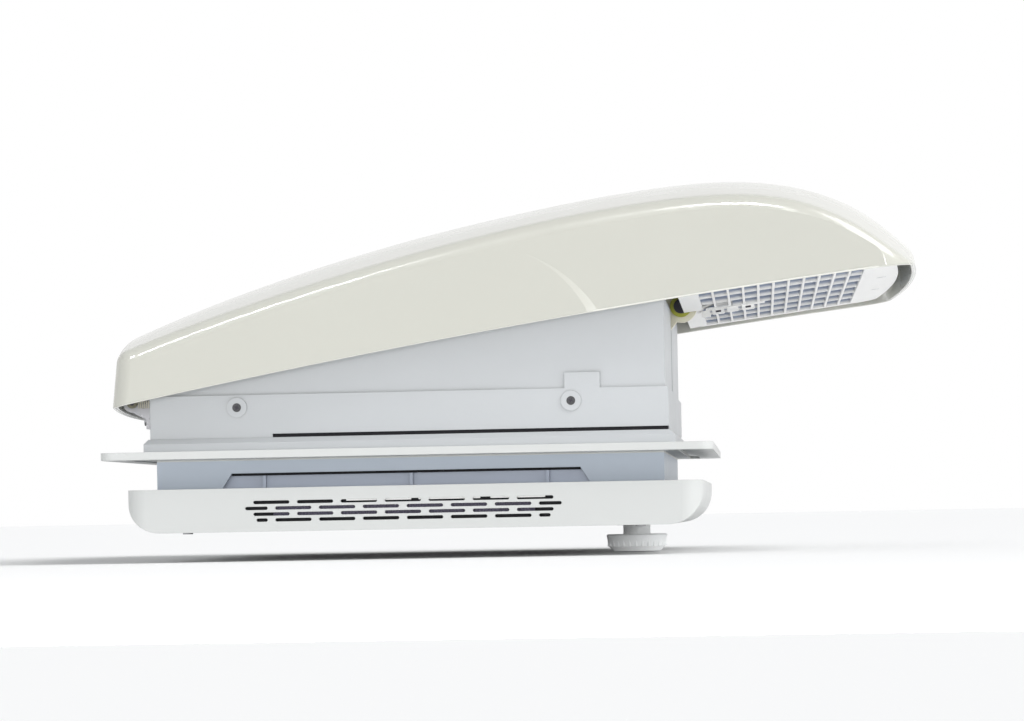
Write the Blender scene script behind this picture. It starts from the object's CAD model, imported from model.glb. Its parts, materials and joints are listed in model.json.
"""Finishes and small details of a caravan roof vent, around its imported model.

Every length is in metres, in the vent's own frame: +X from the hood's hinge to its
nose, +Z up, origin in the middle of the roof opening under the roof flange.
"""

import json
from math import cos, pi, radians, sin

import bmesh
import bpy
from bpy.props import FloatProperty, FloatVectorProperty, PointerProperty
from mathutils import Matrix, Vector


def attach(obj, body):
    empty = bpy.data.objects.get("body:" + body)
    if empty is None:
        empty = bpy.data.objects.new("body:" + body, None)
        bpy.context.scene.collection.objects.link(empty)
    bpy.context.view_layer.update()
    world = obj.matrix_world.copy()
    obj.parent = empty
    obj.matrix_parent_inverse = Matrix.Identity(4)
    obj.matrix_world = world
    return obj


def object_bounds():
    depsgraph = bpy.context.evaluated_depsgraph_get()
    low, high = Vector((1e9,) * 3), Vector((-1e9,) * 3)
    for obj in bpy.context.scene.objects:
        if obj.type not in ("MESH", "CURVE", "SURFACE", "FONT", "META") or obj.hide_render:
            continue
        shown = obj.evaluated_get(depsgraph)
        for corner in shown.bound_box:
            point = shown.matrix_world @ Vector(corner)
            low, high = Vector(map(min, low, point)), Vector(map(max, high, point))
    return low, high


bl_info = {
    "name": "Caravan roof vent",
    "version": (1, 0, 0),
    "blender": (4, 5, 0),
    "location": "3D View > Sidebar > Vent",
    "description": "Finishes a caravan roof vent and sets its stage",
    "category": "Object",
}

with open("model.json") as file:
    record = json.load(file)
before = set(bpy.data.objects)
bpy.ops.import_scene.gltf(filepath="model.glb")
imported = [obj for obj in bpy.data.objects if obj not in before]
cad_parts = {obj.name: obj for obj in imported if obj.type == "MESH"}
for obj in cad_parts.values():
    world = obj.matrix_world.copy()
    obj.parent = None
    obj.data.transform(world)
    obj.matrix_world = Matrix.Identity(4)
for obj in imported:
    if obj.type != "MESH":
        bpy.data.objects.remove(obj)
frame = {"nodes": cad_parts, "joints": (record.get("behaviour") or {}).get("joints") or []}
nodes = frame["nodes"]
cad_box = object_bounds()

MM = 0.001


def joint(name):
    """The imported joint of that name."""
    return next(found for found in frame["joints"] if found["name"] == name)


HINGE = Vector(joint("hood_lift")["pos_m"])
OPEN_ANGLE = radians(-joint("hood_lift")["range_deg"][0])


def opened(x, y, z):
    """Where a point of the closed hood lies with the hood open, as drawn."""
    turn = Matrix.Rotation(-OPEN_ANGLE, 3, "Y")
    return HINGE + turn @ (Vector((x, y, z)) - HINGE)


# The grille's lower face in the closed hood: a point on it, and how much it falls
GRILLE_START = (193.0 * MM, 0.0, 44.4 * MM)
GRILLE_SLOPE = radians(1.5)

# Colours and sizes that a user would change


def colour(name, description, value):
    """A colour setting, given in scene linear values."""
    return FloatVectorProperty(
        name=name, description=description, subtype="COLOR", size=3, min=0.0, max=1.0, default=value
    )


def length(name, description, value):
    """A length setting, in metres."""
    return FloatProperty(
        name=name, description=description, default=value, min=0.0,
        subtype="DISTANCE", unit="LENGTH",
    )


class VentColours(bpy.types.PropertyGroup):
    hood: colour("Hood", "Warm off-white of the hood", (0.53, 0.53, 0.478))
    lip: colour("Lip", "Clean white of the hood's rim bead", (0.725, 0.725, 0.679))
    shell: colour("Flange and trim", "Neutral off-white of flange and trim", (0.592, 0.604, 0.596))
    duct: colour("Duct", "Bluish light grey of the riser", (0.586, 0.605, 0.622))
    collar: colour("Collar", "Cooler grey of the collar under the flange", (0.475, 0.53, 0.60))
    duct_collar: colour("Inner collar", "Violet-grey behind the window", (0.495, 0.545, 0.645))
    grille: colour("Grille", "White of the grille's ribs", (0.93, 0.93, 0.92))
    cells: colour("Grille cells", "Blue-grey deep in the grille's cells", (0.40, 0.46, 0.60))
    knob: colour("Knob", "Cool grey-white of the knob", (0.93, 0.945, 0.95))
    net: colour("Filter net", "Violet-grey of the net behind the slots", (0.16, 0.15, 0.21))
    arm: colour("Arm", "Cream of the lift arm's end", (0.80, 0.77, 0.62))
    bush: colour("Bush", "Yellow-green of the arm's bush", (0.42, 0.43, 0.06))
    pin: colour("Pin", "Dark violet-grey of the arm's pin", (0.055, 0.050, 0.065))
    fan: colour("Fan", "Grey of the fan", (0.10, 0.105, 0.115))
    seal: colour("Seal", "Black of the foam seals", (0.010, 0.010, 0.012))
    steel: colour("Steel", "Zinc plated steel", (0.52, 0.52, 0.54))
    floor: colour("Floor", "Pale floor", (0.93, 0.93, 0.93))


class VentSizes(bpy.types.PropertyGroup):
    edge: length("Edge", "Rounding of the moulded edges", 0.45 * MM)
    lip: length("Lip", "Radius of the bead under the hood's rim", 0.65 * MM)
    pleat: length("Pleat", "Pitch of the filter net's pleats", 2.4 * MM)
    floor: length("Floor", "Side of the floor", 40.0)
    sun_soft: FloatProperty(
        name="Sun size", description="Angle of the soft sun", default=radians(40), subtype="ANGLE"
    )


def colours():
    """The scene's colour settings."""
    return bpy.context.scene.vent_colours


def sizes():
    """The scene's size settings."""
    return bpy.context.scene.vent_sizes


# Shader node groups: each puts out only masks, values, colours or normals

# Their textures, with scales in cells for each metre
WAVE_SCALE = 14.0
PATCH_SCALE = 32.0
TONE_SCALE = 6.0
TONE_SHARE = 0.10
CORNER_REACH = 8 * MM
CORNER_SAMPLES = 8
CORNER_LEAST = 0.35
LINE_STRETCH = 9.0


def new_group(name, inputs, outputs):
    """An empty shader node group with named float or colour sockets."""
    group = bpy.data.node_groups.new(name, "ShaderNodeTree")
    for socket, kind, default in inputs:
        made = group.interface.new_socket(name=socket, in_out="INPUT", socket_type=kind)
        made.default_value = default
    for socket, kind in outputs:
        group.interface.new_socket(name=socket, in_out="OUTPUT", socket_type=kind)
    start = group.nodes.new("NodeGroupInput")
    end = group.nodes.new("NodeGroupOutput")
    return group, start, end


def maths(tree, operation, first, second):
    """A math node whose two inputs are sockets or numbers."""
    node = tree.nodes.new("ShaderNodeMath")
    node.operation = operation
    for socket, value in zip(node.inputs, (first, second)):
        if hasattr(value, "links"):
            tree.links.new(value, socket)
        else:
            socket.default_value = value
    return node.outputs[0]


def noise(tree, scale, detail=2.0, roughness=0.5):
    """A noise texture in object space, whose scale is a socket or a number."""
    place = tree.nodes.new("ShaderNodeTexCoord")
    node = tree.nodes.new("ShaderNodeTexNoise")
    tree.links.new(place.outputs["Object"], node.inputs["Vector"])
    node.inputs["Detail"].default_value = detail
    node.inputs["Roughness"].default_value = roughness
    if hasattr(scale, "links"):
        tree.links.new(scale, node.inputs["Scale"])
    else:
        node.inputs["Scale"].default_value = scale
    return node.outputs["Fac"]


def spread(tree, value, low, high):
    """Maps value from low and high to nought and one."""
    node = tree.nodes.new("ShaderNodeMapRange")
    tree.links.new(value, node.inputs["Value"])
    node.inputs["From Min"].default_value = low
    node.inputs["From Max"].default_value = high
    return node.outputs["Result"]


def grain_group():
    """Moulded surface: fine texture and long soft waves, as a height."""
    group, start, end = new_group(
        "Moulded grain",
        (
            ("Scale", "NodeSocketFloat", 900.0),
            ("Grain", "NodeSocketFloat", 0.5),
            ("Waves", "NodeSocketFloat", 0.5),
        ),
        (("Height", "NodeSocketFloat"),),
    )
    fine = noise(group, start.outputs["Scale"], detail=3.0, roughness=0.6)
    waves = noise(group, WAVE_SCALE, detail=1.0, roughness=0.4)
    fine = maths(group, "MULTIPLY", fine, start.outputs["Grain"])
    waves = maths(group, "MULTIPLY", waves, start.outputs["Waves"])
    group.links.new(maths(group, "ADD", fine, waves), end.inputs["Height"])
    return group


def dust_group():
    """Dust and handling: darkens corners a little and varies the tone softly."""
    group, start, end = new_group(
        "Corner dust",
        (
            ("Clean", "NodeSocketColor", (0.8, 0.8, 0.8, 1.0)),
            ("Dusty", "NodeSocketColor", (0.5, 0.5, 0.5, 1.0)),
            ("Amount", "NodeSocketFloat", 0.5),
        ),
        (("Color", "NodeSocketColor"),),
    )
    corners = group.nodes.new("ShaderNodeAmbientOcclusion")
    corners.inputs["Distance"].default_value = CORNER_REACH
    corners.samples = CORNER_SAMPLES
    depth = maths(group, "SUBTRACT", 1.0, corners.outputs["AO"])
    patches = noise(group, PATCH_SCALE, detail=4.0, roughness=0.65)
    patches = spread(group, patches, low=0.35, high=0.75)
    both = maths(group, "MULTIPLY", depth, maths(group, "ADD", patches, CORNER_LEAST))
    tone = spread(group, noise(group, TONE_SCALE), low=0.3, high=0.7)
    tone = maths(group, "MULTIPLY", tone, TONE_SHARE)
    mask = maths(group, "MULTIPLY", maths(group, "ADD", both, tone), start.outputs["Amount"])
    mix = group.nodes.new("ShaderNodeMix")
    mix.data_type = "RGBA"
    mix.clamp_factor = True
    group.links.new(mask, mix.inputs["Factor"])
    group.links.new(start.outputs["Clean"], mix.inputs["A"])
    group.links.new(start.outputs["Dusty"], mix.inputs["B"])
    group.links.new(mix.outputs["Result"], end.inputs["Color"])
    return group


def smear_group():
    """Handling marks: a roughness that varies softly between two values."""
    group, start, end = new_group(
        "Soft smears",
        (
            ("Smooth", "NodeSocketFloat", 0.2),
            ("Worn", "NodeSocketFloat", 0.4),
            ("Scale", "NodeSocketFloat", 20.0),
        ),
        (("Roughness", "NodeSocketFloat"),),
    )
    marks = noise(group, start.outputs["Scale"], detail=5.0, roughness=0.7)
    marks = spread(group, marks, low=0.35, high=0.8)
    mix = group.nodes.new("ShaderNodeMix")
    group.links.new(marks, mix.inputs["Factor"])
    group.links.new(start.outputs["Smooth"], mix.inputs["A"])
    group.links.new(start.outputs["Worn"], mix.inputs["B"])
    group.links.new(mix.outputs["Result"], end.inputs["Roughness"])
    return group


def rolled_group():
    """Turned or rolled metal: fine lines across the part, as a height."""
    group, start, end = new_group(
        "Rolled lines", (("Scale", "NodeSocketFloat", 400.0),), (("Height", "NodeSocketFloat"),)
    )
    place = group.nodes.new("ShaderNodeTexCoord")
    stretch = group.nodes.new("ShaderNodeMapping")
    stretch.inputs["Scale"].default_value = (1.0, 1.0, LINE_STRETCH)
    lines = group.nodes.new("ShaderNodeTexNoise")
    group.links.new(place.outputs["Object"], stretch.inputs["Vector"])
    group.links.new(stretch.outputs["Vector"], lines.inputs["Vector"])
    group.links.new(start.outputs["Scale"], lines.inputs["Scale"])
    group.links.new(lines.outputs["Fac"], end.inputs["Height"])
    return group


def bands_group():
    """Splits a part by height along a direction: nought below an edge, one above it."""
    group, start, end = new_group(
        "Height bands",
        (
            ("Up", "NodeSocketVector", (0.0, 0.0, 1.0)),
            ("Edge", "NodeSocketFloat", 0.0),
            ("Fade", "NodeSocketFloat", 0.001),
        ),
        (("Mask", "NodeSocketFloat"),),
    )
    place = group.nodes.new("ShaderNodeTexCoord")
    along = group.nodes.new("ShaderNodeVectorMath")
    along.operation = "DOT_PRODUCT"
    group.links.new(place.outputs["Object"], along.inputs[0])
    group.links.new(start.outputs["Up"], along.inputs[1])
    over = maths(group, "SUBTRACT", along.outputs["Value"], start.outputs["Edge"])
    share = maths(group, "DIVIDE", over, start.outputs["Fade"])
    held = group.nodes.new("ShaderNodeClamp")
    group.links.new(share, held.inputs["Value"])
    group.links.new(held.outputs["Result"], end.inputs["Mask"])
    return group


GROUPS = {}


def group_node(tree, name, **values):
    """Places a shared node group in a material, with its own input values."""
    if name not in GROUPS:
        makers = {
            "grain": grain_group, "dust": dust_group, "smears": smear_group,
            "rolled": rolled_group, "bands": bands_group,
        }
        GROUPS[name] = makers[name]()
    node = tree.nodes.new("ShaderNodeGroup")
    node.node_tree = GROUPS[name]
    for key, value in values.items():
        node.inputs[key].default_value = value
    return node


# Materials

BEVEL_SAMPLES = 4
DUSTY_SHARE = (0.62, 0.60, 0.56)
PLASTIC_MARKS = 24.0
PLASTIC_BUMP = 0.25 * MM
COAT_ROUGHNESS = 0.06
METAL_DUST = 0.9
METAL_TARNISH = 0.45
METAL_MARKS = 160.0
METAL_BUMP = 0.05 * MM
FOAM_SCALE = 1400.0
FOAM_BUMP = 0.3 * MM
FOAM_DUST = 0.6
FOAM_DUSTY = 2.2
FOAM_ROUGHNESS = 0.85

# Moulded finishes: label, colour setting or fixed colour, roughness clean and worn,
# grain, waves, clear coat, dust, and cells of grain for each metre
MOULDED = {
    "hood": ("Hood gloss", "hood", 0.16, 0.24, 0.05, 0.9, 0.35, 0.25, 700.0),
    "lip": ("Rim bead", "lip", 0.16, 0.24, 0.05, 0.2, 0.3, 0.2, 900.0),
    "shell": ("Trim satin", "shell", 0.36, 0.42, 0.12, 0.6, 0.0, 0.30, 900.0),
    "flange": ("Flange satin", "shell", 0.36, 0.42, 0.12, 0.6, 0.0, 0.35, 900.0),
    "duct": ("Duct satin", "duct", 0.36, 0.50, 0.30, 0.9, 0.0, 0.55, 900.0),
    "collar": ("Collar satin", "duct_collar", 0.36, 0.50, 0.30, 0.9, 0.0, 0.55, 900.0),
    "grille": ("Grille satin", "grille", 0.34, 0.48, 0.35, 0.3, 0.0, 0.5, 900.0),
    "white": ("White satin", "grille", 0.34, 0.48, 0.20, 0.2, 0.0, 0.15, 900.0),
    "knob": ("Knob satin", "knob", 0.38, 0.52, 0.8, 0.3, 0.0, 0.2, 1300.0),
    "net": ("Filter net", "net", 0.60, 0.75, 1.6, 0.2, 0.0, 0.6, 2400.0),
    "backing": ("Filter frame", (0.012, 0.012, 0.015), 0.5, 0.7, 0.4, 0.2, 0.0, 0.2, 900.0),
    "arm": ("Arm nylon", "arm", 0.40, 0.55, 0.5, 0.3, 0.0, 0.8, 900.0),
    "bush": ("Bush acetal", "bush", 0.30, 0.45, 0.2, 0.3, 0.0, 0.6, 900.0),
    "khaki": ("Ear khaki", (0.46, 0.44, 0.36), 0.4, 0.55, 0.4, 0.3, 0.0, 0.7, 900.0),
    "pin": ("Pin cap", "pin", 0.30, 0.45, 0.3, 0.3, 0.0, 0.4, 900.0),
    "fan": ("Fan plastic", "fan", 0.34, 0.50, 0.5, 0.4, 0.0, 0.6, 900.0),
    "screen": ("Screen net", "fan", 0.50, 0.65, 0.9, 0.1, 0.0, 0.8, 1800.0),
    "gear": ("Gear nylon", (0.78, 0.76, 0.68), 0.35, 0.5, 0.3, 0.2, 0.0, 0.8, 900.0),
    "switch": ("Rocker", (0.030, 0.031, 0.034), 0.14, 0.25, 0.1, 0.2, 0.1, 0.4, 900.0),
}

# Metal finishes: label, colour setting or fixed colour, roughness clean and worn, and
# lines for each metre
METALS = {
    "steel": ("Zinc steel", "steel", 0.24, 0.42, 420.0),
    "dark steel": ("Dark zinc", (0.13, 0.13, 0.135), 0.34, 0.5, 420.0),
    "brass": ("Dull hinge pins", (0.26, 0.25, 0.19), 0.36, 0.5, 420.0),
    "motor": ("Motor can", (0.32, 0.33, 0.35), 0.30, 0.46, 240.0),
}

# Where a second tint starts and over what depth it fades in: on the flange's band and
# on its collar by height, and in the grille's cells by depth
BAND_EDGE, BAND_FADE = 5.4 * MM, 0.4 * MM
COLLAR_EDGE, COLLAR_FADE = -1.0 * MM, -0.4 * MM
CELL_EDGE, CELL_FADE = 1.2 * MM, 1.8 * MM


def new_material(name):
    """A material with a Principled shader: its tree and shader."""
    material = bpy.data.materials.new(name)
    material.use_nodes = True
    tree = material.node_tree
    return material, tree, tree.nodes["Principled BSDF"]


def bump(tree, shader, height, distance):
    """Feeds a height into the shader's normal, as a bump over softly rounded edges."""
    node = tree.nodes.new("ShaderNodeBump")
    rounded = tree.nodes.new("ShaderNodeBevel")
    rounded.samples = BEVEL_SAMPLES
    rounded.inputs["Radius"].default_value = sizes().edge
    tree.links.new(rounded.outputs["Normal"], node.inputs["Normal"])
    node.inputs["Distance"].default_value = distance
    tree.links.new(height, node.inputs["Height"])
    tree.links.new(node.outputs["Normal"], shader.inputs["Normal"])


def tint_of(tint):
    """The colour setting of that name, or a fixed colour as it is."""
    return getattr(colours(), tint) if isinstance(tint, str) else tint


def moulded(label, tint, smooth, worn, grain, waves, coat, dust, scale):
    """Moulded plastic: tint with dusty corners, soft smears and a moulded grain."""
    material, tree, shader = new_material(label)
    clean = tint_of(tint)
    dusty = [part * share for part, share in zip(clean, DUSTY_SHARE)]
    dirt = group_node(tree, "dust", Clean=(*clean, 1.0), Dusty=(*dusty, 1.0), Amount=dust)
    tree.links.new(dirt.outputs["Color"], shader.inputs["Base Color"])
    marks = group_node(tree, "smears", Smooth=smooth, Worn=worn, Scale=PLASTIC_MARKS)
    tree.links.new(marks.outputs["Roughness"], shader.inputs["Roughness"])
    texture = group_node(tree, "grain", Scale=scale, Grain=grain, Waves=waves)
    bump(tree, shader, texture.outputs["Height"], PLASTIC_BUMP)
    shader.inputs["Coat Weight"].default_value = coat
    shader.inputs["Coat Roughness"].default_value = COAT_ROUGHNESS
    return material


def banded(material, tint, up, edge, fade):
    """Gives a moulded material a second tint above an edge, or below it if fade is negative."""
    tree = material.node_tree
    shader = tree.nodes["Principled BSDF"]
    clean = shader.inputs["Base Color"].links[0].from_socket
    mask = group_node(tree, "bands", Up=up, Edge=edge, Fade=fade)
    mix = tree.nodes.new("ShaderNodeMix")
    mix.data_type = "RGBA"
    mix.inputs["B"].default_value = (*tint, 1.0)
    tree.links.new(mask.outputs["Mask"], mix.inputs["Factor"])
    tree.links.new(clean, mix.inputs["A"])
    tree.links.new(mix.outputs["Result"], shader.inputs["Base Color"])


def tint_flange(material):
    """Cooler grey on the band above the flange and on the collar below it."""
    level = (0.0, 0.0, 1.0)
    banded(material, colours().duct, level, BAND_EDGE, BAND_FADE)
    banded(material, colours().collar, level, COLLAR_EDGE, COLLAR_FADE)


def tint_grille(material):
    """Blue-grey in the grille's cells, away from their open side."""
    turn = OPEN_ANGLE - GRILLE_SLOPE
    up = Vector((-sin(turn), 0.0, cos(turn)))
    edge = up.dot(opened(*GRILLE_START)) + CELL_EDGE
    banded(material, colours().cells, up, edge, CELL_FADE)


def metal(label, tint, smooth, worn, lines):
    """Plated metal with rolled lines and worn patches."""
    material, tree, shader = new_material(label)
    clean = tint_of(tint)
    dusty = [part * METAL_TARNISH for part in clean]
    dirt = group_node(tree, "dust", Clean=(*clean, 1.0), Dusty=(*dusty, 1.0), Amount=METAL_DUST)
    tree.links.new(dirt.outputs["Color"], shader.inputs["Base Color"])
    marks = group_node(tree, "smears", Smooth=smooth, Worn=worn, Scale=METAL_MARKS)
    tree.links.new(marks.outputs["Roughness"], shader.inputs["Roughness"])
    texture = group_node(tree, "rolled", Scale=lines)
    bump(tree, shader, texture.outputs["Height"], METAL_BUMP)
    shader.inputs["Metallic"].default_value = 1.0
    return material


def foam(label, tint):
    """Black cellular foam of the seals."""
    material, tree, shader = new_material(label)
    place = tree.nodes.new("ShaderNodeTexCoord")
    cells = tree.nodes.new("ShaderNodeTexVoronoi")
    cells.inputs["Scale"].default_value = FOAM_SCALE
    tree.links.new(place.outputs["Object"], cells.inputs["Vector"])
    bump(tree, shader, cells.outputs["Distance"], FOAM_BUMP)
    dusty = [part * FOAM_DUSTY for part in tint]
    dirt = group_node(tree, "dust", Clean=(*tint, 1.0), Dusty=(*dusty, 1.0), Amount=FOAM_DUST)
    tree.links.new(dirt.outputs["Color"], shader.inputs["Base Color"])
    shader.inputs["Roughness"].default_value = FOAM_ROUGHNESS
    return material


MATERIALS = {}


def new_finish(name):
    """Builds the material of that name."""
    if name == "seal":
        return foam("Foam seal", colours().seal)
    if name in METALS:
        return metal(*METALS[name])
    material = moulded(*MOULDED[name])
    if name == "flange":
        tint_flange(material)
    if name == "grille":
        tint_grille(material)
    return material


def finish(name):
    """The material of that name, built the first time it is asked for."""
    if name not in MATERIALS:
        MATERIALS[name] = new_finish(name)
    return MATERIALS[name]


NODE_FINISHES = {
    "hood": ("hood_shell", "hood_arm_near", "hood_arm_far"),
    "flange": ("base_frame",),
    "shell": ("ceiling_trim", "switch_housing"),
    "duct": ("riser_duct", "upstand_frame", "fan_shroud", "inner_lid", "gearbox_bracket"),
    "collar": ("duct_collar",),
    "grille": ("exhaust_grille",),
    "white": ("screen_frame", "screen_clips", "lift_rail"),
    "knob": ("knob",),
    "arm": ("lift_arm", "lift_roller"),
    "bush": ("lift_bush",),
    "pin": ("lift_pin",),
    "fan": ("fan_rotor",),
    "screen": ("screen_mesh",),
    "gear": ("worm", "worm_wheel"),
    "switch": ("switch_rocker",),
    "dark steel": ("upstand_screws",),
    "brass": ("hinge_pins",),
    "steel": (
        "shroud_screws", "motor_screws", "lid_screws", "grille_screws", "rail_screws",
        "gearbox_screws", "hinge_screws", "hinge_nuts", "trim_screws", "rotor_nut",
        "motor_shaft", "wheel_shaft", "shaft_clips", "shaft_collar", "knob_shaft",
        "hinge_bracket_near", "hinge_bracket_far",
    ),
    "motor": ("fan_motor",),
    "seal": ("rim_seal", "lid_gasket"),
}


def dress(finish_name):
    """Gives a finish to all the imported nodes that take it."""
    for node_name in NODE_FINISHES[finish_name]:
        node = nodes[node_name]
        node.data.materials.clear()
        node.data.materials.append(finish(finish_name))


# Pieces that the scene adds


def new_piece(name, shape, body, finish_name, smooth=False):
    """Turns a bmesh into a piece that rides on a body, with its finish."""
    bmesh.ops.recalc_face_normals(shape, faces=shape.faces)
    mesh = bpy.data.meshes.new(name)
    shape.to_mesh(mesh)
    shape.free()
    for face in mesh.polygons:
        face.use_smooth = smooth
    piece = bpy.data.objects.new(name, mesh)
    bpy.context.scene.collection.objects.link(piece)
    mesh.materials.append(finish(finish_name))
    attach(piece, body)
    return piece


def sweep(shape, path, radius, sides=8):
    """A closed round tube along a closed path, across which each ring stands."""
    rings = []
    count = len(path)
    for place, point in enumerate(path):
        ahead = (path[(place + 1) % count] - path[place - 1]).normalized()
        across = ahead.cross(Vector((0.0, 0.0, 1.0))).normalized()
        above = across.cross(ahead)
        ring = []
        for side in range(sides):
            turn = 2 * pi * side / sides
            ring.append(shape.verts.new(point + (across * cos(turn) + above * sin(turn)) * radius))
        rings.append(ring)
    for place, ring in enumerate(rings):
        after = rings[(place + 1) % count]
        for side in range(sides):
            nxt = (side + 1) % sides
            shape.faces.new((ring[side], ring[nxt], after[nxt], after[side]))


def prism(shape, outline, ahead):
    """A closed solid that an outline sweeps along a vector."""
    near = [shape.verts.new(point) for point in outline]
    far = [shape.verts.new(point + ahead) for point in outline]
    count = len(outline)
    for place in range(count):
        nxt = (place + 1) % count
        shape.faces.new((near[place], near[nxt], far[nxt], far[place]))
    for ring in (near, far):
        edges = [shape.edges.get((ring[place - 1], ring[place])) for place in range(count)]
        bmesh.ops.triangle_fill(shape, edges=edges)


def upright(corners, y):
    """An outline in the upright plane at y, from pairs of x and z."""
    return [Vector((x, y, z)) for x, z in corners]


# The closed hood's rim: where it lies, its arch, and its outline seen from above
RIM_ENDS = (-217.5 * MM, 362.0 * MM)
RIM_HALF = 210.0 * MM
RIM_HEIGHT = 37.0 * MM
RIM_ARCH = 7.0 * MM
RIM_INSET = 1.5 * MM
RIM_BOWS = (17.0 * MM, 9.0 * MM)
RIM_CORNERS = (13.0 * MM, 30.0 * MM)
RIM_REACH = 5.0 * MM
RIM_END_STEPS = 8
RIM_SIDE_STEPS = 24


def rim_height(x):
    """Height of the closed hood's rim at x, on an arc from tail to nose."""
    middle = (RIM_ENDS[0] + RIM_ENDS[1]) / 2
    half = (RIM_ENDS[1] - RIM_ENDS[0]) / 2 + RIM_REACH
    radius = (half**2 + RIM_ARCH**2) / (2 * RIM_ARCH)
    return RIM_HEIGHT + RIM_ARCH - radius + (radius**2 - (x - middle) ** 2) ** 0.5


def rim_quarter(end, bow, corner):
    """Points of one end's outline, from its middle to where its side starts."""
    half = RIM_HALF - RIM_INSET
    reach = abs(end) - RIM_INSET
    out = 1 if end > 0 else -1
    points = []
    for step in range(RIM_END_STEPS + 1):
        y = (half - corner) * step / RIM_END_STEPS
        points.append((out * (reach - bow * (y / half) ** 2), y))
    base = reach - bow * ((half - corner) / half) ** 2
    for step in range(1, RIM_END_STEPS + 1):
        turn = pi / 2 * step / RIM_END_STEPS
        points.append((out * (base - corner * (1 - cos(turn))), half - corner * (1 - sin(turn))))
    return points


def rim_path():
    """The rim's closed path as drawn, with the hood open."""
    tail = rim_quarter(RIM_ENDS[0], RIM_BOWS[0], RIM_CORNERS[0])
    nose = rim_quarter(RIM_ENDS[1], RIM_BOWS[1], RIM_CORNERS[1])
    start, y = tail[-1]
    run = nose[-1][0] - start
    side = [(start + run * step / RIM_SIDE_STEPS, y) for step in range(1, RIM_SIDE_STEPS)]
    half = tail + side + nose[::-1]
    flat = half + [(x, -y) for x, y in reversed(half[1:-1])]
    return [opened(x, y, rim_height(x)) for x, y in flat]


def rim_bead():
    """The bead along the hood's lower edge."""
    shape = bmesh.new()
    sweep(shape, rim_path(), sizes().lip)
    new_piece("rim_bead", shape, "hood", "lip", smooth=True)


# The hinge pins' heads, which face outwards on both sides, and the ear beside each; where
# its ribs start, their width and their two ends from the hinge line are in millimetres
PIN_FACE = 182.0 * MM
SOCKET_RADIUS = 1.7 * MM
SOCKET_SINK = 0.3 * MM
SOCKET_DEPTH = 0.35 * MM
EAR_FACE = 180.0 * MM
EAR_RIBS = (-187.6, -186.2, -184.8, -183.4, -182.0, -180.6)
RIB_WIDTH = 0.8
RIB_LOW = -3.6
RIB_HIGH = 1.6
RIB_PROUD = 0.7 * MM


def hinge_details():
    """Dark hexagonal sockets in the hinge pins' heads, and grip ribs on the ears beside them."""
    sockets = bmesh.new()
    ribs = bmesh.new()
    for side in (-1, 1):
        middle = Vector((HINGE.x, side * (PIN_FACE - SOCKET_SINK), HINGE.z))
        outline = [
            middle + Vector((cos(pi * turn / 3), 0.0, sin(pi * turn / 3))) * SOCKET_RADIUS
            for turn in range(6)
        ]
        prism(sockets, outline, Vector((0.0, side * SOCKET_DEPTH, 0.0)))
        low, high = HINGE.z + RIB_LOW * MM, HINGE.z + RIB_HIGH * MM
        for x in EAR_RIBS:
            left, right = x * MM, (x + RIB_WIDTH) * MM
            corners = ((left, low), (left, high), (right, high), (right, low))
            prism(ribs, upright(corners, side * EAR_FACE), Vector((0.0, side * RIB_PROUD, 0.0)))
    new_piece("pin_sockets", sockets, "base", "pin")
    new_piece("ear_ribs", ribs, "base", "khaki")


# The upstand screws' heads, and the cross recess in each: a quarter of its outline
SCREW_XS = (-118.6 * MM, 112.9 * MM)
SCREW_Z = 35.5 * MM
SCREW_FACE = 180.8 * MM
CROSS_SINK = 0.3 * MM
CROSS_DEPTH = 0.33 * MM
CROSS_TURN = 0.4
CROSS_ARM = 1.7 * MM
CROSS_HALF = 0.42 * MM
CROSS_QUARTER = ((CROSS_HALF, CROSS_HALF), (CROSS_ARM, CROSS_HALF), (CROSS_ARM, -CROSS_HALF))


def screw_crosses():
    """Dark cross recesses in the upstand's screws."""
    shape = bmesh.new()
    for side in (-1, 1):
        for x in SCREW_XS:
            middle = Vector((x, side * (SCREW_FACE - CROSS_SINK), SCREW_Z))
            outline = []
            for quarter in range(4):
                turn = Matrix.Rotation(pi / 2 * quarter + CROSS_TURN, 3, "Y")
                for out, along in CROSS_QUARTER:
                    outline.append(middle + turn @ Vector((out, 0.0, along)))
            prism(shape, outline, Vector((0.0, side * CROSS_DEPTH, 0.0)))
    new_piece("screw_crosses", shape, "base", "pin")


# Blocks on the strip under the hood, in millimetres: start and length along it, how far
# each hangs, and whether it has a socket; their chamfer and the socket's mouth too
STRIP_BLOCKS = (
    (205.5, 6.5, 4.6, False),
    (213.5, 9.0, 3.6, True),
    (224.5, 8.5, 3.4, False),
    (235.5, 9.5, 3.6, True),
)
BLOCK_NEAR, BLOCK_FAR = 5.6 * MM, 14.0 * MM
BLOCK_CHAMFER = 0.5
MOUTH_ENDS = (-1.9, 2.1)
MOUTH_INSET = 1.1
MOUTH_PROUD = 0.05 * MM
MOUTH_DEPTH = 1.0 * MM


def strip_outline(corners, y):
    """An outline under the open hood's grille, from pairs of millimetres: along it from
    the middle of the vent, and below its face."""
    outline = []
    for x, drop in corners:
        fall = (x * MM - GRILLE_START[0]) * sin(GRILLE_SLOPE)
        outline.append(opened(x * MM, y, GRILLE_START[2] - fall - drop * MM))
    return outline


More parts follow.
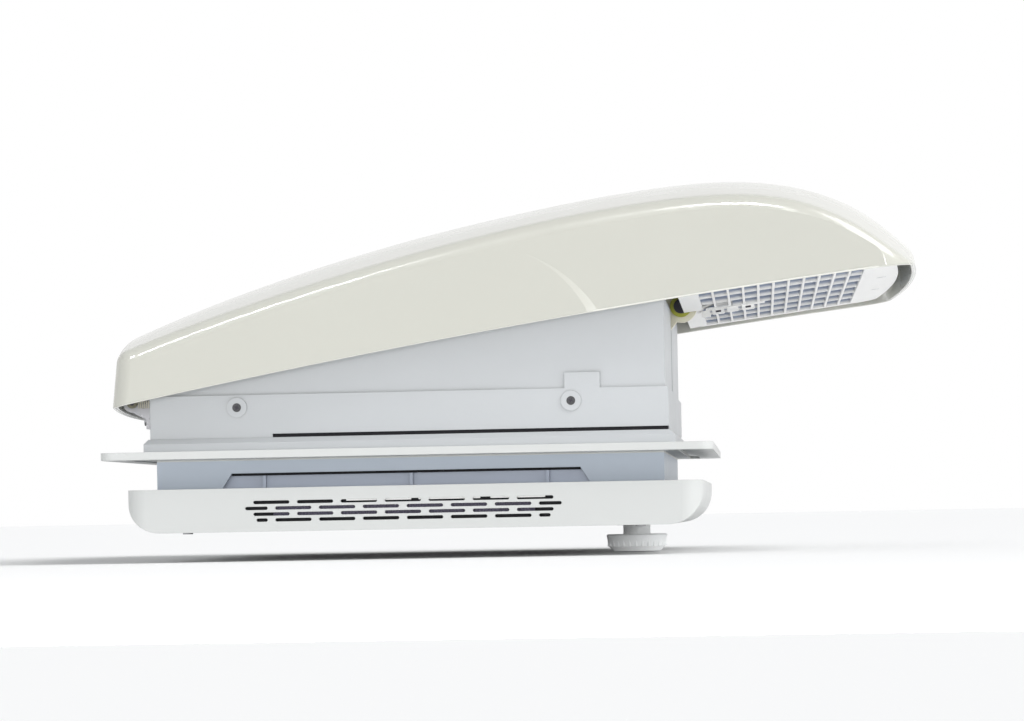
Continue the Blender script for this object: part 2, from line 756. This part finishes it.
def strip_blocks():
    """Clip blocks on the strip beside the lift rail, two of them with a dark socket."""
    blocks = bmesh.new()
    sockets = bmesh.new()
    cut = BLOCK_CHAMFER
    thickness = Vector((0.0, BLOCK_FAR - BLOCK_NEAR, 0.0))
    for start, run, hang, socketed in STRIP_BLOCKS:
        end = start + run
        corners = (
            (start, 0.0), (start, hang - cut), (start + cut, hang),
            (end - cut, hang), (end, hang - cut), (end, 0.0),
        )
        prism(blocks, strip_outline(corners, BLOCK_NEAR), thickness)
        if socketed:
            left, right = (start + run / 2 + offset for offset in MOUTH_ENDS)
            low, high = hang - MOUTH_INSET, MOUTH_INSET
            corners = ((left, high), (left, low), (right, low), (right, high))
            mouth = strip_outline(corners, BLOCK_NEAR - MOUTH_PROUD)
            prism(sockets, mouth, Vector((0.0, MOUTH_DEPTH, 0.0)))
    new_piece("strip_blocks", blocks, "hood", "white")
    new_piece("strip_sockets", sockets, "hood", "pin")


# The inner faces of the ceiling trim's side walls, and the ledge behind their top slots,
# with the start and end of each of its stretches in millimetres
TRIM_INNER = 196.9 * MM
SLOT_TOP = -30.45 * MM
LIP_THICK = 1.2 * MM
LIP_LOW = SLOT_TOP + 0.1 * MM
LIP_HIGH = SLOT_TOP + 5.0 * MM
LIP_GAP = 0.02 * MM
LIP_CHAMFER = 0.4 * MM
LIP_STRETCHES = ((-41.5, 3.5), (8.3, 50.8), (57.7, 95.2), (102.7, 118.0))


def slot_lips():
    """White ledge inside the trim that half closes the top row of slots."""
    shape = bmesh.new()
    cut = LIP_CHAMFER
    for side in (-1, 1):
        for start, end in LIP_STRETCHES:
            left, right = start * MM, end * MM
            corners = (
                (left, LIP_HIGH), (left, LIP_LOW + cut), (left + cut, LIP_LOW),
                (right - cut, LIP_LOW), (right, LIP_LOW + cut), (right, LIP_HIGH),
            )
            outline = upright(corners, side * (TRIM_INNER - LIP_GAP))
            prism(shape, outline, Vector((0.0, -side * LIP_THICK, 0.0)))
    new_piece("slot_lips", shape, "base", "white")


# The window in each side of the flange's collar, and the foam along its top edge
WINDOW_TOP = -10.0 * MM
WINDOW_ENDS = (-123.2 * MM, 117.8 * MM)
COLLAR_INNER = 173.6 * MM
SHADE_GAP = 0.05 * MM
SHADE_LOW = WINDOW_TOP - 1.7 * MM
SHADE_HIGH = WINDOW_TOP + 3.0 * MM
SHADE_FLARE = 0.8 * MM
SHADE_THICK = 0.6 * MM


def window_shades():
    """Black foam strips inside the collar, along the top edge of each window."""
    shape = bmesh.new()
    left, right = WINDOW_ENDS
    corners = (
        (left, SHADE_HIGH), (left - SHADE_FLARE, SHADE_LOW),
        (right + SHADE_FLARE, SHADE_LOW), (right, SHADE_HIGH),
    )
    for side in (-1, 1):
        outline = upright(corners, side * (COLLAR_INNER - SHADE_GAP))
        prism(shape, outline, Vector((0.0, -side * SHADE_THICK, 0.0)))
    new_piece("window_shades", shape, "base", "seal")


# The filter nets behind the trim's slots, and the dark frame behind each
NET_ENDS = (-92.0 * MM, 88.0 * MM)
NET_GAP = 2.0 * MM
NET_THICK = 2.2 * MM
NET_DEPTH = 0.9 * MM
NET_LOW = -41.2 * MM
NET_HIGH = -32.2 * MM
FRAME_ENDS = (-120.0 * MM, 116.0 * MM)
FRAME_LOW = -48.0 * MM
FRAME_HIGH = -26.5 * MM
FRAME_TAPER = 6 * MM
FRAME_THICK = 1.4 * MM


def filter_strips():
    """Pleated filter nets behind the slots, each in front of its dark frame."""
    nets = bmesh.new()
    frames = bmesh.new()
    start, end = NET_ENDS
    pleats = round((end - start) / sizes().pleat)
    step = (end - start) / pleats / 2
    left, right = FRAME_ENDS
    corners = (
        (left, FRAME_LOW), (right, FRAME_LOW),
        (right - FRAME_TAPER, FRAME_HIGH), (left + FRAME_TAPER, FRAME_HIGH),
    )
    for side in (-1, 1):
        face = side * (TRIM_INNER - NET_GAP)
        back = face - side * NET_THICK
        outline = [
            Vector((start + step * place, face - side * NET_DEPTH * (place % 2), NET_LOW))
            for place in range(pleats * 2 + 1)
        ]
        outline += [Vector((end, back, NET_LOW)), Vector((start, back, NET_LOW))]
        prism(nets, outline, Vector((0.0, 0.0, NET_HIGH - NET_LOW)))
        prism(frames, upright(corners, back), Vector((0.0, -side * FRAME_THICK, 0.0)))
    new_piece("filter_nets", nets, "base", "net")
    new_piece("filter_frames", frames, "base", "backing")


# Stage: the floor's paint, then the lights. The sun and the glints shine from a
# direction. The softboxes stand low at a place, with their backs to a direction.
FLOOR_GAP = 0.5 * MM
FLOOR_ROUGHNESS = 0.9
FLOOR_GLOSS = 0.1
WORLD_TINT = (0.97, 0.985, 1.0, 1.0)
WORLD_LIGHT = 0.53
SUN_LIGHT = 2.1
SUN_FROM = Vector((0.70, -0.25, 0.80))
BOX_SIZE = (1.4, 0.14)
SOFTBOXES = (
    ("Front softbox", 8.6, Vector((-0.06, -1.60, 0.0)), Vector((0.0, -1.0, 0.0))),
    ("Right softbox", 6.0, Vector((1.90, -0.40, 0.02)), Vector((1.0, 0.0, 0.0))),
)
GLINTS = (
    ("Shoulder glint", 1.7, radians(5), Vector((0.03, -0.70, 0.62))),
    ("Tail glint", 0.6, radians(9), Vector((-0.33, -0.68, 0.60))),
    ("Crease glint", 3.2, radians(10), Vector((0.40, -0.91, 0.08))),
)


def stage_floor():
    """A pale floor just under the vent's lowest point."""
    half = sizes().floor / 2
    low = cad_box[0].z - FLOOR_GAP
    mesh = bpy.data.meshes.new("floor")
    corners = [(-half, -half, low), (half, -half, low), (half, half, low), (-half, half, low)]
    mesh.from_pydata(corners, [], [(0, 1, 2, 3)])
    floor = bpy.data.objects.new("floor", mesh)
    bpy.context.scene.collection.objects.link(floor)
    material, _, shader = new_material("Floor paint")
    shader.inputs["Base Color"].default_value = (*colours().floor, 1.0)
    shader.inputs["Roughness"].default_value = FLOOR_ROUGHNESS
    shader.inputs["Specular IOR Level"].default_value = FLOOR_GLOSS
    mesh.materials.append(material)


def stage_world():
    """Even studio light, and a white background for camera, gloss and glass rays."""
    world = bpy.data.worlds.new("Studio")
    world.use_nodes = True
    bpy.context.scene.world = world
    tree = world.node_tree
    tree.nodes.clear()
    out = tree.nodes.new("ShaderNodeOutputWorld")
    light = tree.nodes.new("ShaderNodeBackground")
    light.inputs["Color"].default_value = WORLD_TINT
    light.inputs["Strength"].default_value = WORLD_LIGHT
    white = tree.nodes.new("ShaderNodeBackground")
    white.inputs["Color"].default_value = (1.0, 1.0, 1.0, 1.0)
    white.inputs["Strength"].default_value = 1.0
    path = tree.nodes.new("ShaderNodeLightPath")
    seen = maths(tree, "MAXIMUM", path.outputs["Is Camera Ray"], path.outputs["Is Glossy Ray"])
    seen = maths(tree, "MAXIMUM", seen, path.outputs["Is Transmission Ray"])
    mix = tree.nodes.new("ShaderNodeMixShader")
    tree.links.new(seen, mix.inputs["Fac"])
    tree.links.new(light.outputs[0], mix.inputs[1])
    tree.links.new(white.outputs[0], mix.inputs[2])
    tree.links.new(mix.outputs[0], out.inputs["Surface"])


def aim(name, strength, angle, source):
    """A sun that shines from a direction."""
    lamp = bpy.data.lights.new(name, "SUN")
    lamp.energy = strength
    lamp.angle = angle
    sun = bpy.data.objects.new(name, lamp)
    sun.rotation_mode = "QUATERNION"
    sun.rotation_quaternion = source.to_track_quat("Z", "Y")
    bpy.context.scene.collection.objects.link(sun)
    return sun


def stage_softboxes():
    """Low softboxes in front and at the right, which show in no gloss."""
    for name, strength, place, away in SOFTBOXES:
        lamp = bpy.data.lights.new(name, "AREA")
        lamp.energy = strength
        lamp.shape = "RECTANGLE"
        lamp.size, lamp.size_y = BOX_SIZE
        box = bpy.data.objects.new(name, lamp)
        box.location = place
        box.rotation_mode = "QUATERNION"
        box.rotation_quaternion = away.to_track_quat("Z", "Y")
        box.visible_camera = False
        box.visible_glossy = False
        bpy.context.scene.collection.objects.link(box)


def stage_glints():
    """Narrow lights that only the hood's gloss picks up, along its shoulder and crease."""
    lit = bpy.data.collections.new("Glossy hood")
    lit.objects.link(nodes["hood_shell"])
    for name, strength, angle, source in GLINTS:
        sun = aim(name, strength, angle, source)
        sun.visible_diffuse = False
        sun.light_linking.receiver_collection = lit


# The camera that took the photograph: its place, turn and roll, and its frame of
# 1024 by 721 pixels with the horizon at row 513
CAMERA_PLACE = Vector((0.24203, -2.35469, -0.04101))
CAMERA_TURN = 0.0785
CAMERA_ROLL = 0.01858
FOCAL_PIXELS = 3174.94
PHOTO_WIDTH = 1024
PHOTO_HEIGHT = 721
HORIZON_ROW = 513.17
SENSOR = 36.0
CLIP_NEAR, CLIP_FAR = 0.05, 100.0


def stage_camera():
    """The photograph's camera, looking level, shifted to the photograph's frame."""
    data = bpy.data.cameras.new("Photo camera")
    data.sensor_width = SENSOR
    data.lens = FOCAL_PIXELS * SENSOR / PHOTO_WIDTH
    data.shift_y = (HORIZON_ROW - PHOTO_HEIGHT / 2) / PHOTO_WIDTH
    data.clip_start, data.clip_end = CLIP_NEAR, CLIP_FAR
    camera = bpy.data.objects.new("Photo camera", data)
    ahead = Vector((-sin(CAMERA_TURN), cos(CAMERA_TURN), 0.0))
    level = Vector((cos(CAMERA_TURN), sin(CAMERA_TURN), 0.0))
    up = Vector((0.0, 0.0, 1.0))
    right = level * cos(CAMERA_ROLL) - up * sin(CAMERA_ROLL)
    above = level * sin(CAMERA_ROLL) + up * cos(CAMERA_ROLL)
    turn = Matrix((right, above, -ahead)).transposed()
    camera.rotation_mode = "QUATERNION"
    camera.rotation_quaternion = turn.to_quaternion()
    camera.location = CAMERA_PLACE
    bpy.context.scene.collection.objects.link(camera)
    bpy.context.scene.camera = camera


class VENT_OT_stage(bpy.types.Operator):
    """Set the floor, the light, the background and the photograph's camera"""

    bl_idname = "vent.stage"
    bl_label = "Stage"

    def execute(self, context):
        context.scene.view_settings.view_transform = "Standard"
        stage_floor()
        stage_world()
        aim("Soft sun", SUN_LIGHT, sizes().sun_soft, SUN_FROM)
        stage_softboxes()
        stage_glints()
        stage_camera()
        return {"FINISHED"}


class VENT_OT_hood(bpy.types.Operator):
    """Finish the hood and its arms, and add the bead along its rim"""

    bl_idname = "vent.hood"
    bl_label = "Hood"

    def execute(self, context):
        dress("hood")
        rim_bead()
        return {"FINISHED"}


class VENT_OT_base(bpy.types.Operator):
    """Finish the flange, riser, inner lid, trim and seals, with what shows in their openings"""

    bl_idname = "vent.base"
    bl_label = "Flange, riser and trim"

    def execute(self, context):
        for name in ("flange", "shell", "duct", "collar", "seal"):
            dress(name)
        window_shades()
        slot_lips()
        filter_strips()
        return {"FINISHED"}


class VENT_OT_grille(bpy.types.Operator):
    """Finish the exhaust grille, its strip and the screen under the fan"""

    bl_idname = "vent.grille"
    bl_label = "Grille and screen"

    def execute(self, context):
        for name in ("grille", "white", "screen"):
            dress(name)
        strip_blocks()
        return {"FINISHED"}


class VENT_OT_drive(bpy.types.Operator):
    """Finish the lift arm, its bush, pin and roller, the worm drive and the knob"""

    bl_idname = "vent.drive"
    bl_label = "Lift drive"

    def execute(self, context):
        for name in ("arm", "bush", "pin", "gear", "knob"):
            dress(name)
        return {"FINISHED"}


class VENT_OT_fan(bpy.types.Operator):
    """Finish the fan, its motor and the rocker switch"""

    bl_idname = "vent.fan"
    bl_label = "Fan"

    def execute(self, context):
        for name in ("fan", "motor", "switch"):
            dress(name)
        return {"FINISHED"}


class VENT_OT_fasteners(bpy.types.Operator):
    """Finish the screws, nuts, pins, shafts and hinge brackets, and add their recesses"""

    bl_idname = "vent.fasteners"
    bl_label = "Fasteners"

    def execute(self, context):
        for name in ("steel", "dark steel", "brass"):
            dress(name)
        hinge_details()
        screw_crosses()
        return {"FINISHED"}


class VENT_PT_panel(bpy.types.Panel):
    """The vent's pieces and settings"""

    bl_idname = "VENT_PT_panel"
    bl_label = "Caravan roof vent"
    bl_space_type = "VIEW_3D"
    bl_region_type = "UI"
    bl_category = "Vent"

    def draw(self, context):
        for operator in OPERATORS:
            self.layout.operator(operator.bl_idname)
        for settings in (context.scene.vent_colours, context.scene.vent_sizes):
            for name in settings.__annotations__:
                self.layout.prop(settings, name)


OPERATORS = (
    VENT_OT_stage,
    VENT_OT_hood,
    VENT_OT_base,
    VENT_OT_grille,
    VENT_OT_drive,
    VENT_OT_fan,
    VENT_OT_fasteners,
)
CLASSES = (VentColours, VentSizes, *OPERATORS, VENT_PT_panel)


def register():
    for made in CLASSES:
        bpy.utils.register_class(made)
    bpy.types.Scene.vent_colours = PointerProperty(type=VentColours)
    bpy.types.Scene.vent_sizes = PointerProperty(type=VentSizes)


def unregister():
    del bpy.types.Scene.vent_sizes
    del bpy.types.Scene.vent_colours
    for made in reversed(CLASSES):
        bpy.utils.unregister_class(made)


def main():
    """Builds every piece and notes the size before and after."""
    register()
    bpy.ops.vent.stage()
    bpy.ops.vent.hood()
    bpy.ops.vent.base()
    bpy.ops.vent.grille()
    bpy.ops.vent.drive()
    bpy.ops.vent.fan()
    bpy.ops.vent.fasteners()


if __name__ == "__main__":
    main()
